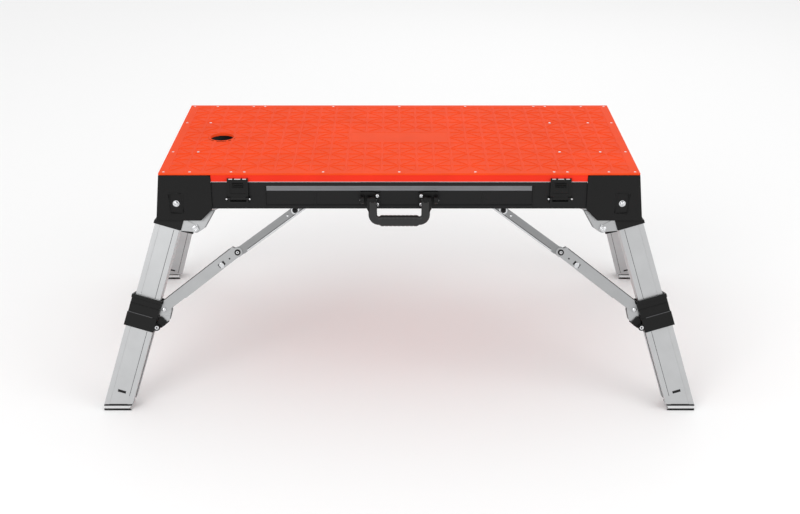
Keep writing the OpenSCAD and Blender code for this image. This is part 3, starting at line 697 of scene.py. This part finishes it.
class BENCH_OT_frame(bpy.types.Operator):
    """Build the black rails, the frame under the deck and the corner blocks"""

    bl_idname = "bench.frame"
    bl_label = "Frame"

    def execute(self, context):
        s = shape()
        coat, nylon = powder_coat("black_powder_coat", colours().coat, 0.4), black_nylon()
        zinc = zinc_bracket()
        cad_piece("rails", "side_rails", 0.7 * MM, coat, "frame")
        cad_piece("under_frame", "sub_frame", 0.8 * MM, coat, "frame")
        cad_piece("blocks", "corner_blocks", s.moulded_edge * 1.5, nylon, "frame", 3)
        cad_piece("strut_hangers", "strut_brackets", s.metal_edge, zinc, "frame")
        cad_piece("hinge_cheeks", "hinge_brackets", s.metal_edge, zinc, "frame")
        self.rail_trim(coat)
        self.block_trim(nylon)
        return {"FINISHED"}

    def rail_trim(self, coat):
        """A ledge along the top of each rail's recess, painted a lighter grey as a highlight, and shallow ribs in
        the recess.
        """
        ledge, ribs = bmesh.new(), bmesh.new()
        start = PANEL_HALF - 4 * MM
        for side in (-1, 1):
            outline = [(side * (RAIL_Y + out * MM), DECK_TOP - drop * MM) for out, drop in (
                (-2.4, 33.5), (0.2, 34.2), (1.4, 36), (1.4, 38.5), (0.1, 40.2), (0.4, 45.6),
                (-0.6, 47.2), (-2.4, 47.4))]
            merge(ledge, prism(outline, 2 * start, 0.4 * MM), lengthwise(-start))
            # two ribs in the recess, then an upright bead at each of its ends
            for reach, half, inner, outer, foot, head, edge in (
                    (210 * MM, 2.5, -2.5, -0.9, 86, 46, 0.7), (PANEL_HALF, 2, -1, 0.9, 92, 36, 0.8)):
                for x in (-reach, reach):
                    low = (x - half * MM, side * (RAIL_Y + inner * MM), DECK_TOP - foot * MM)
                    high = (x + half * MM, side * (RAIL_Y + outer * MM), DECK_TOP - head * MM)
                    merge(ribs, block(low, high, edge * MM))
        # satin lip painted a lighter grey than the coat: a painted highlight, so it reads as a line of light
        grey = powder_coat("painted_highlight_rail_lip", linear("#6E6F72"), 0.3)
        finished_piece("painted_highlight_rail_ledges", ledge, [grey], "frame")
        finished_piece("rail_ribs", ribs, [coat], "frame")

    def block_trim(self, nylon):
        """A raised frame round each block's bolt recess."""
        trim = bmesh.new()
        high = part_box("corner_blocks")[1]
        lean = -0.6 * math.atan2(high.x - DECK_HALF_X, BLOCK_HEIGHT)
        for corner in CORNERS:
            side_x, side_y = side_of(corner)
            place = Matrix.Translation((side_x * BLOCK_BOLT[0], side_y * (high.y - 0.4 * MM),
                                        DECK_TOP - BLOCK_BOLT[1]))
            place = place @ Matrix.Diagonal((side_x, side_y, 1, 1)) @ Matrix.Rotation(lean, 4, "Y")
            for x0, z0, x1, z1 in ((-18, 26, 18, 28.4), (-18, -28.4, 18, -26), (-18, -27, -15.8, 27),
                                   (15.8, -27, 18, 27)):
                merge(trim, block(*mm(((x0, -1, z0), (x1, 0.9, z1))), 0.6 * MM), place)
        finished_piece("block_recess_rims", trim, [nylon], "frame")


class BENCH_OT_fasteners(bpy.types.Operator):
    """Build the deck's screws, the corner bolts and the hinge bolts"""

    bl_idname = "bench.fasteners"
    bl_label = "Fasteners"

    def execute(self, context):
        bright = bright_plate()
        heads = bmesh.new()
        source = bmesh.new()
        source.from_mesh(frame["nodes"]["fasteners"].data)
        bmesh.ops.remove_doubles(source, verts=source.verts, dist=2e-6)
        for low, high in islands(source):
            x, y, z = (low + high) / 2
            if high.z > DECK_TOP - 5 * MM:
                merge(heads, screw_head(3.6 * MM, 1.3 * MM), Matrix.Translation((x, y, DECK_TOP - 0.9 * MM)))
            else:
                side, seat = (1, low.y) if y > 0 else (-1, high.y)
                merge(heads, bolt_head(8.5 * MM, 6 * MM), facing((x, seat, z), (0, side, 0)))
        source.free()
        finished_piece("screws_and_bolts", heads, [bright], "frame", ("fasteners",))

        pins = cad_copy("pivot_bolts", 0.6 * MM)
        for corner in CORNERS:
            place = leg_place(corner)
            for y, way in ((-4 * MM, -1), (LEG_THICK + 4 * MM, 1)):
                merge(pins, bolt_head(7.4 * MM, 2.6 * MM), place @ facing((0, y, 0), (0, way, 0)), 1)
                # square washer set on its corner under the head
                washer = prism(mm(((0, 11.5), (10, 0), (0, -11.5), (-10, 0))), 1.2 * MM, 0.4 * MM)
                merge(pins, washer, place @ facing((0, y - way * 3.6 * MM, 0), (0, way, 0)), 1)
        finished_piece("hinge_bolts", pins, [zinc_bracket(), bright], "frame",
                       ("pivot_bolts",))
        return {"FINISHED"}


class BENCH_OT_latches(bpy.types.Operator):
    """Build the four draw latches with their bright rods and pins"""

    bl_idname = "bench.latches"
    bl_label = "Latches"

    def execute(self, context):
        nylon, bright = black_nylon(), bright_plate()
        for corner in CORNERS:
            node = "latch_" + corner
            bm = cad_copy(node, 0.9 * MM)
            low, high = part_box(node)
            middle = (low + high) / 2
            pin = Vector(JOINTS["latch_open_" + corner]["pos_m"])
            side, face = (1, high.y) if pin.y > 0 else (-1, low.y)
            # the hooked rod shows in three stretches between black knuckles
            for x0, x1, r, slot in ((-25, 25, 1.7, 1), (-12.5, -7.5, 2.7, 0), (7.5, 12.5, 2.7, 0),
                                    (-26, -22, 2.7, 0), (22, 26, 2.7, 0)):
                half = (x1 - x0) / 2
                rod = turned(mm(((0, half), (r - 0.3, half), (r, half - 0.3), (r, 0.3 - half),
                                 (r - 0.3, -half), (0, -half))), 16)
                at = (middle.x + (x0 + x1) / 2 * MM, middle.y + side * 0.3 * MM, high.z + 0.4 * MM)
                merge(bm, rod, facing(at, (1, 0, 0)), slot)
            for way in (-1, 1):
                at = (middle.x + way * 29 * MM, face - side * 0.6 * MM, pin.z)
                merge(bm, rivet_head(2.3 * MM, 1.2 * MM), facing(at, (0, side, 0)), 1)
            # thumb ridges on the plate's face
            face -= side * 0.6 * MM
            for row in range(3):
                z = pin.z + (30 + 5 * row) * MM
                merge(bm, block((middle.x - 14 * MM, face - 1.2 * MM, z),
                                (middle.x + 14 * MM, face + 1.2 * MM, z + 1.6 * MM), 0.5 * MM))
            finished_piece("draw_latch_" + corner, bm, [nylon, bright], node, (node,))
        return {"FINISHED"}


class BENCH_OT_handle(bpy.types.Operator):
    """Build the carrying handle, its lugs and their screws"""

    bl_idname = "bench.handle"
    bl_label = "Handle"

    def execute(self, context):
        pivot = Vector(JOINTS["handle_swing"]["pos_m"])
        nylon, grip, bright = black_nylon(), smooth_nylon(), bright_plate()
        bm = self.hoop(pivot)
        for side in (-1, 1):
            # barrel round the pin, and the web that carries it down into the post
            barrel = turned(mm(((0, 11.5), (6.4, 11.5), (7.4, 10.5), (7.4, -10.5), (6.4, -11.5),
                                (0, -11.5))), 28)
            merge(bm, barrel, facing(pivot + Vector((side * 69.5 * MM, 0, 0)), (1, 0, 0)), 1)
            web = prism(mm((side * x, z) for x, z in ((58, 0), (58, -22), (62, -34), (75, -34), (81, -22),
                                                      (81, 0))), 12.5 * MM, 1.6 * MM, 3)
            merge(bm, web, Matrix.Translation(pivot) @ upright(6.2 * MM, -1), 1)
            for way in (-1, 1):
                merge(bm, rivet_head(3.4 * MM, 1.2 * MM),
                      facing(pivot + Vector(((side * 79 + way * 19.6) * MM, 0, 0)), (way, 0, 0)), 2)
        finished_piece("carrying_handle", bm, [grip, nylon, bright], "handle", ("handle",))

        lugs = cad_copy("handle_mount", 0.9 * MM)
        for side in (-1, 1):
            merge(lugs, block((side * 48 * MM, -RAIL_Y - 2.4 * MM, DECK_TOP - 91 * MM),
                              (side * 64 * MM, -RAIL_Y + 2.2 * MM, DECK_TOP - 52 * MM), 1.0 * MM, 3))
            for drop in (60, 83):
                at = (side * 55 * MM, -RAIL_Y - 2.2 * MM, DECK_TOP - drop * MM)
                merge(lugs, screw_head(5.0 * MM, 3.2 * MM), facing(at, (0, -1, 0)), 1)
        finished_piece("handle_lugs", lugs, [nylon, bright], "frame", ("handle_mount",))
        return {"FINISHED"}

    def hoop(self, pivot):
        """A round-cornered hoop swept from post to post, with a ribbed grip."""
        half = 66.4 * MM      # middle line of the posts
        corner = 16 * MM
        grip_z = -55.7 * MM   # middle line of the grip, below the pivots
        swelling = 1.22       # of the grip over the posts
        shoulder = 4 * MM     # length over which it swells
        ribs = 9
        bm = bmesh.new()
        bmesh.ops.create_circle(bm, cap_ends=False, segments=20, radius=1)
        for v in bm.verts:    # a squarish oval, 22 by 15 mm
            v.co.x = math.copysign(abs(v.co.x) ** 0.75, v.co.x) * 11 * MM
            v.co.y = math.copysign(abs(v.co.y) ** 0.75, v.co.y) * 7.6 * MM
        bmesh.ops.translate(bm, verts=bm.verts, vec=(-half, 0, 2 * MM))
        loop = list(bm.edges)
        bmesh.ops.edgeloop_fill(bm, edges=loop)

        def push(edges, vec):   # draws the open end out
            grown = bmesh.ops.extrude_edge_only(bm, edges=edges)["geom"]
            verts = [g for g in grown if isinstance(g, bmesh.types.BMVert)]
            bmesh.ops.translate(bm, verts=verts, vec=vec)
            return [g for g in grown if isinstance(g, bmesh.types.BMEdge)]

        def swell(edges, k, x):   # scales the open end round the grip's middle line
            verts = {v for e in edges for v in e.verts}
            bmesh.ops.scale(bm, vec=(1, k, k), verts=list(verts),
                            space=Matrix.Translation((-x, 0, -grip_z)))

        def turn(edges, x):   # carries the open end round a corner
            grown = bmesh.ops.spin(bm, geom=edges, cent=(x, 0, grip_z + corner), axis=(0, 1, 0),
                                   dvec=(0, 0, 0), angle=-math.pi / 2, steps=7,
                                   use_duplicate=False)["geom_last"]
            return [g for g in grown if isinstance(g, bmesh.types.BMEdge)]

        loop = push(loop, (0, 0, -2 * MM))
        loop = push(loop, (0, 0, grip_z + corner))
        loop = turn(loop, -half + corner)
        pitch = (2 * (half - corner) - 2 * shoulder) / ribs
        rib = [(pitch * step, size) for step, size in (
            (0.12, 1.05), (0.64, 1.0), (0.12, 1 / 1.05), (0.12, 1.0))]
        x = -half + corner
        for run, size in [(shoulder, swelling), *(rib * ribs), (shoulder, 1 / swelling)]:
            loop = push(loop, (run, 0, 0))
            x += run
            swell(loop, size, x)
        loop = turn(loop, half - corner)
        loop = push(loop, (0, 0, -grip_z - corner))
        loop = push(loop, (0, 0, 2 * MM))
        bmesh.ops.edgeloop_fill(bm, edges=loop)
        bmesh.ops.recalc_face_normals(bm, faces=bm.faces)
        bmesh.ops.translate(bm, verts=bm.verts, vec=pivot)
        return bm


class BENCH_OT_legs(bpy.types.Operator):
    """Build the upper legs, their boots, hinge ears, collars and strut clevises"""

    bl_idname = "bench.legs"
    bl_label = "Legs"

    def execute(self, context):
        s = shape()
        nylon, zinc, bright = black_nylon(), zinc_bracket(), bright_plate()
        # painted highlight: a light grey for the rib under the collar's lip
        rib_highlight = powder_coat("painted_highlight_collar_rib", linear("#4A4A4C"), 0.35)
        # painted shade in the legs' grooves
        shadow = shadow_plastic("groove_shadow", "#1C1D1E")
        for corner in CORNERS:
            body = "leg_" + corner
            place = leg_place(corner)
            tube = cad_copy("upper_leg_" + corner, s.metal_edge * 0.8)
            groove_lines(tube, place, (0, 0), UPPER_GROOVES)
            finished_piece("upper_tube_" + corner, tube, [drawn_aluminium(corner), shadow], body,
                           ("upper_leg_" + corner,))
            cad_piece("boot_" + corner, "leg_boot_" + corner, s.moulded_edge, nylon, body)
            cad_piece("ear_plate_" + corner, "hinge_ear_" + corner, s.metal_edge, zinc, body)
            self.collar(corner, place, [nylon, bright, rib_highlight])
            clevis = cad_copy("strut_clevis_" + corner, s.metal_edge)
            foot = Vector(JOINTS["lower_strut_turn_" + corner]["pos_m"])
            inward = place.to_3x3() @ Vector((0, 1, 0))
            for way in (-1, 1):
                merge(clevis, rivet_head(5.6 * MM, 2.4 * MM),
                      facing(foot + inward * way * 17.6 * MM, inward * way), 1)
            finished_piece("clevis_" + corner, clevis, [zinc, bright], body,
                           ("strut_clevis_" + corner,))
        return {"FINISHED"}

    def collar(self, corner, place, materials):
        """The clamp round the leg's middle, with its beads, its clamp screw and the lever's pin ends."""
        bm = cad_copy("collar_" + corner, shape().moulded_edge * 1.2, 3)
        inner, outer = LEG_INSET - 6.1 * MM, LEG_INSET + LEG_WIDTH + 6.3 * MM
        # a bead above the waist's foot, and under its lip a rib in light grey as a painted highlight, on both
        # faces
        for y, way in ((-4.8 * MM, -1), (LEG_THICK + 4.8 * MM, 1)):
            bead = block((inner + 1 * MM, y, COLLAR_BEAD - 1.1 * MM),
                         (outer + 0.5 * MM, y + way * 3.9 * MM, COLLAR_BEAD + 1.1 * MM), 0.8 * MM, 3)
            merge(bm, bead, place)
            rib = block((inner + 12 * MM, y, COLLAR_RIB - 0.9 * MM),
                        (outer - 1 * MM, y + way * 4.4 * MM, COLLAR_RIB + 0.9 * MM), 0.5 * MM)
            merge(bm, rib, place, 2)
        # clamp screw on the outboard side
        merge(bm, screw_head(4.6 * MM, 2.6 * MM),
              place @ facing((outer + 2.0 * MM, LEG_THICK / 2, CLAMP_SCREW), (1, 0, 0)), 1)
        pin = Vector(JOINTS["lock_lever_press_" + corner]["pos_m"])
        inward = place.to_3x3() @ Vector((0, 1, 0))
        for way in (-1, 1):
            rim = turned(mm(((5.6, 0), (8.0, 0), (8.0, 0.9), (5.6, 0.9), (5.6, 0))), 28)
            merge(bm, rim, facing(pin + inward * way * 25.8 * MM, inward * way))
            merge(bm, hollow_pin(4.9 * MM, 2.2 * MM, 1.8 * MM),
                  facing(pin + inward * way * 27.4 * MM, inward * way), 1)
        finished_piece("collar_clamp_" + corner, bm, materials, "leg_" + corner,
                       ("collar_" + corner,))


class BENCH_OT_lower_legs(bpy.types.Operator):
    """Build the telescoping lower legs and their feet"""

    bl_idname = "bench.lower_legs"
    bl_label = "Lower legs"

    def execute(self, context):
        rubber, grey = foot_rubber(), pale_band()
        shadow = shadow_plastic("slot_shadow", "#151516")
        for corner in CORNERS:
            body = "lower_leg_" + corner
            place = leg_place(corner)
            channel = cad_copy(body, shape().metal_edge * 0.8)
            groove_lines(channel, place, SLEEVE, LOWER_GROOVES)
            # painted shade: a near-black plate for the dark inside of the lock slot, on both faces
            x = LEG_INSET + LEG_WIDTH / 2
            for face, way in ((-0.8 * MM, -1), (LEG_THICK + 0.8 * MM, 1)):
                slot = block((x - 11.2 * MM, face, LOCK_SLOT - 3.6 * MM),
                             (x + 11.2 * MM, face + way * 1.4 * MM, LOCK_SLOT + 3.6 * MM), 0.4 * MM)
                merge(channel, slot, place, 1)
            finished_piece("lower_channel_" + corner, channel, [drawn_aluminium(corner), shadow], body,
                           (body,))
            self.foot(corner, body, [rubber, grey])
        return {"FINISHED"}

    def foot(self, corner, body, materials):
        """A rubber sole, a grey spacer and a black gasket, cut from the foot's outline."""
        node = "foot_" + corner
        foot = bmesh.new()
        low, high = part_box(node)
        middle, size = (low + high) / 2, high - low
        for z0, z1, slot, inset in ((0, 5.4, 0, 0), (5.4, 13.2, 1, 0.7), (13.2, 17, 0, 0)):
            layer = merged_copy(node)
            for z, outer in ((low.z + z0 * MM, False), (low.z + z1 * MM, True)):
                cut = bmesh.ops.bisect_plane(
                    layer, geom=[*layer.verts, *layer.edges, *layer.faces], dist=1e-7, plane_co=(0, 0, z),
                    plane_no=(0, 0, 1), clear_outer=outer, clear_inner=not outer)["geom_cut"]
                edges = [e for e in cut if isinstance(e, bmesh.types.BMEdge) and e.is_boundary]
                if edges:
                    bmesh.ops.edgeloop_fill(layer, edges=edges)
            bmesh.ops.recalc_face_normals(layer, faces=layer.faces)
            if inset:
                bmesh.ops.scale(layer, vec=(1 - 2 * inset * MM / size.x, 1 - 2 * inset * MM / size.y, 1),
                                verts=layer.verts, space=Matrix.Translation(-middle))
            round_edges(layer, 0.7 * MM)
            merge(foot, layer, slot=slot)
        # pads moulded on the sole's outer edge, with grooves between them
        pads = 6
        for i in range(pads):
            x = low.x + size.x * (i + 0.5) / pads
            for y in (low.y, high.y):
                merge(foot, block((x - 3.2 * MM, y - 0.5 * MM, low.z + 0.9 * MM),
                                  (x + 3.2 * MM, y + 0.5 * MM, low.z + 4.2 * MM), 0.35 * MM))
        finished_piece("foot_pad_" + corner, foot, materials, body, (node,))


class BENCH_OT_levers(bpy.types.Operator):
    """Build the lock levers under the struts' feet"""

    bl_idname = "bench.levers"
    bl_label = "Lock levers"

    def execute(self, context):
        nylon = black_nylon()
        for corner in CORNERS:
            node = "lock_lever_" + corner
            bm = cad_copy(node, 1.0 * MM, 3)
            # finger ribs on the outer faces of both cheeks
            for x in (10.5 * MM, 13.5 * MM, 16.5 * MM):
                for y in (0.3 * MM, LEG_THICK - 0.3 * MM):
                    rib = block((x, y - 0.5 * MM, LEVER_RIBS - 5 * MM),
                                (x + 1.5 * MM, y + 0.5 * MM, LEVER_RIBS + 5 * MM), 0.3 * MM)
                    merge(bm, rib, leg_place(corner))
            finished_piece("lever_" + corner, bm, [nylon], node, (node,))
        return {"FINISHED"}


class BENCH_OT_struts(bpy.types.Operator):
    """Build the two arms of each strut, their knees and lock clips"""

    bl_idname = "bench.struts"
    bl_label = "Struts"

    def execute(self, context):
        nylon, bright = black_nylon(), bright_plate()
        # painted shade: near black for the arms' slots, grooves and rolled edges
        shadow = moulded_plastic("edge_shadow", linear("#202021"), 0.55, 1.5 * MM, 0.02 * MM, 0.3)
        for corner in CORNERS:
            self.lower_arm(corner, bright, shadow)
            self.upper_arm(corner, nylon, bright, shadow)
            self.knee(corner, nylon, bright)
        return {"FINISHED"}

    def strip(self, start, end, low, high, height, edge):
        """A thin strip along an arm's face, from one place and level to another."""
        return prism([(start, low), (end, low), (end, high), (start, high)], height, edge)

    def lower_arm(self, corner, bright, shadow):
        """The arm on the leg's clevis, with the spring clip in its slot, and painted shade in the slot and along
        its rolled edge.
        """
        node = "lower_strut_" + corner
        place, length = strut_place(corner, "lower")
        bm = cad_copy(node, shape().metal_edge)
        for y, way in ((5 * MM, -1), (LEG_THICK - 5 * MM, 1)):
            face = place @ upright(y, way)
            # painted shade: a dark strip where the clip's slot is
            slot = self.strip(length - 60 * MM, length - 42 * MM, -5 * MM, 6 * MM, 0.5 * MM, 0.2 * MM)
            merge(bm, slot, face, 2)
            clip = prism([(length - x * MM, z * MM) for x, z in (
                (58, -8), (50, -9), (46, -2), (47, 5), (53, 7), (58, 3))], 2.4 * MM, 0.9 * MM, 3)
            merge(bm, clip, face, 1)
            # painted shade: a low dark dome in the shade material
            rivet_at = place @ facing((length - 26 * MM, y, 0), (0, way, 0))
            merge(bm, rivet_head(2.2 * MM, 0.5 * MM), rivet_at, 2)
            # painted shade: a thin dark strip along the rolled edge
            rolled = prism([(16 * MM, 18.4 * MM), (length - 8 * MM, 18.4 * MM),
                            (length - 8 * MM, 20.3 * MM), (18 * MM, 20.3 * MM)], 0.35 * MM, 0.15 * MM)
            merge(bm, rolled, face, 2)
        finished_piece("lower_arm_" + corner, bm, [zinc_plate(corner, "lower"), bright, shadow], node,
                       (node,))

    def upper_arm(self, corner, nylon, bright, shadow):
        """The arm on the frame's hanger, with painted shade for a pressed groove, its pivot bolts and a black cap.
        """
        node = "upper_strut_" + corner
        place, length = strut_place(corner, "upper")
        bm = cad_copy(node, shape().metal_edge)
        for y, way in ((8.5 * MM, -1), (LEG_THICK - 8.5 * MM, 1)):
            face = place @ upright(y, way)
            # painted shade for the groove along the lower edge, and the pale strip below it
            groove = self.strip(-22 * MM, length - 26 * MM, -8.6 * MM, -7.4 * MM, 0.3 * MM, 0.1 * MM)
            merge(bm, groove, face, 3)
            pale = self.strip(-25 * MM, length - 22 * MM, -12.6 * MM, -9.2 * MM, 0.5 * MM, 0.2 * MM)
            merge(bm, pale, face, 2)
            merge(bm, rivet_head(2.8 * MM, 1.2 * MM), place @ facing((24 * MM, y, 0), (0, way, 0)), 2)
            merge(bm, bolt_head(10.5 * MM, 1.2 * MM), place @ facing((0, y, 0), (0, way, 0)), 2)
        cap = turned(mm(((0, 4.6), (5.4, 4.6), (6.9, 3.4), (7.4, 1.2), (7.4, 0), (0, 0))), 28)
        merge(bm, cap, place @ facing((0, 8.3 * MM, 0), (0, -1, 0)), 1)
        finished_piece("upper_arm_" + corner, bm, [zinc_plate(corner, "upper"), nylon, bright, shadow], node,
                       (node,))

    def knee(self, corner, nylon, bright):
        """The pin between the arms, with a black ring and a rolled bright end on both sides."""
        node = "knee_pin_" + corner
        place, length = strut_place(corner, "lower")
        bm = cad_copy(node, 0.6 * MM)
        for y, way in ((2 * MM, -1), (LEG_THICK - 2 * MM, 1)):
            end = place @ facing((length, y, 0), (0, way, 0))
            ring = turned(mm(((3.6, 0.3), (4.4, 1.5), (6.2, 1.5), (7.6, 0.2), (7.6, -3), (3.6, -3),
                              (3.6, 0.3))), 32)
            merge(bm, ring, end)
            merge(bm, hollow_pin(3.8 * MM, 1.5 * MM, 1.6 * MM), end, 1)
        finished_piece("knee_cap_" + corner, bm, [nylon, bright], "lower_strut_" + corner,
                       (node,))


class BENCH_OT_stage(bpy.types.Operator):
    """Lay the pale floor, set the soft lights and place the camera"""

    bl_idname = "bench.stage"
    bl_label = "Stage"

    def execute(self, context):
        scene = context.scene
        self.floor(scene)

        world = bpy.data.worlds.new("studio")
        world.use_nodes = True
        sky = world.node_tree.nodes["Background"].inputs
        sky["Color"].default_value = (1, 1, 1, 1)
        sky["Strength"].default_value = 0.95
        scene.world = world
        for name, at, size, power in (("key_light", (-2.2, -3.4, 3.0), 2.4, 48),
                                      ("fill_light", (3.2, -2.0, 2.2), 2.4, 26),
                                      ("back_light", (0.6, 3.4, 2.6), 2.6, 10)):
            data = bpy.data.lights.new(name, "AREA")
            data.shape, data.size, data.energy = "SQUARE", size, power
            light = bpy.data.objects.new(name, data)
            # a light shines along its own -z, here at a point a little under the deck
            light.matrix_world = facing(at, Vector(at) - Vector((0, 0, 0.4)))
            scene.collection.objects.link(light)

        data = bpy.data.cameras.new("camera")
        data.sensor_width = 36
        data.lens = 58.64
        camera = bpy.data.objects.new("camera", data)
        camera.location = (0.002, -3.338, 1.705)
        camera.rotation_euler = (math.pi / 2 - 0.413, 0, 0)   # level, then tipped down
        scene.collection.objects.link(camera)
        scene.camera = camera
        scene.view_settings.view_transform = "Standard"
        return {"FINISHED"}

    def floor(self, scene):
        """A matt white sheet, wide enough to fill the picture."""
        bm = bmesh.new()
        bmesh.ops.create_grid(bm, x_segments=4, y_segments=4, size=20)
        mesh = bpy.data.meshes.new("floor")
        bm.to_mesh(mesh)
        bm.free()
        floor = bpy.data.objects.new("floor", mesh)
        scene.collection.objects.link(floor)
        material, tree, _ = blank_finish("pale_studio_floor")
        shader = add_node(tree, "ShaderNodeBsdfPrincipled",
                          {"Base Color": (0.9, 0.9, 0.9, 1), "Roughness": 0.9, "Specular IOR Level": 0.1})
        add_node(tree, "ShaderNodeOutputMaterial", {"Surface": shader.outputs["BSDF"]})
        mesh.materials.append(material)


class BENCH_PT_sidebar(bpy.types.Panel):
    """Lists the bench's pieces, sizes and colours"""

    bl_idname = "BENCH_PT_sidebar"
    bl_label = "Bench"
    bl_space_type = "VIEW_3D"
    bl_region_type = "UI"
    bl_category = "Bench"

    def draw(self, context):
        layout = self.layout
        for group in (shape(), colours()):
            box = layout.box()
            for name in group.__annotations__:
                box.prop(group, name)
        for operator in OPERATORS:
            layout.operator(operator.bl_idname)


OPERATORS = (
    BENCH_OT_deck, BENCH_OT_skirts, BENCH_OT_frame, BENCH_OT_fasteners, BENCH_OT_latches, BENCH_OT_handle,
    BENCH_OT_legs, BENCH_OT_lower_legs, BENCH_OT_levers, BENCH_OT_struts, BENCH_OT_stage,
)
CLASSES = (BenchColours, BenchShape, *OPERATORS, BENCH_PT_sidebar)


def register():
    for cls in CLASSES:
        bpy.utils.register_class(cls)
    bpy.types.Scene.bench_colours = PointerProperty(type=BenchColours)
    bpy.types.Scene.bench_shape = PointerProperty(type=BenchShape)


def unregister():
    del bpy.types.Scene.bench_shape
    del bpy.types.Scene.bench_colours
    for cls in reversed(CLASSES):
        bpy.utils.unregister_class(cls)


def main():
    register()
    bpy.ops.bench.deck()
    bpy.ops.bench.skirts()
    bpy.ops.bench.frame()
    bpy.ops.bench.fasteners()
    bpy.ops.bench.latches()
    bpy.ops.bench.handle()
    bpy.ops.bench.legs()
    bpy.ops.bench.lower_legs()
    bpy.ops.bench.levers()
    bpy.ops.bench.struts()
    bpy.ops.bench.stage()


if __name__ == "__main__":
    main()
